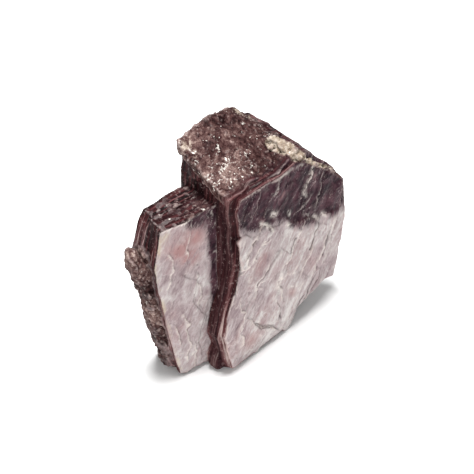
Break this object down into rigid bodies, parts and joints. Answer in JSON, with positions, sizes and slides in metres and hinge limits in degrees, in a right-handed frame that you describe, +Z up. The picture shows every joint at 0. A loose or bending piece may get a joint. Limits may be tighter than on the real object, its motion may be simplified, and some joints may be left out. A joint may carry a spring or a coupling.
{
  "type": "mica rock",
  "caption": "Lilac mica rock of stacked sheets with flat cleavage faces, a rough crusted top and a lumpy rim, standing on its broken foot.",
  "frame": {"origin": "centre of the bounding box at the floor the rock stands on", "axes": "+Z up, +X along the large cleavage face to its thin end, -Y out of the large cleavage face"},
  "size_m": [0.0636, 0.0216, 0.0669],
  "materials": {
    "lilac_mica": "pearly cleavage faces, dull broken edges"
  },
  "bodies": {
    "root": {"mica_rock": "lilac_mica"}
  },
  "joints": []
}
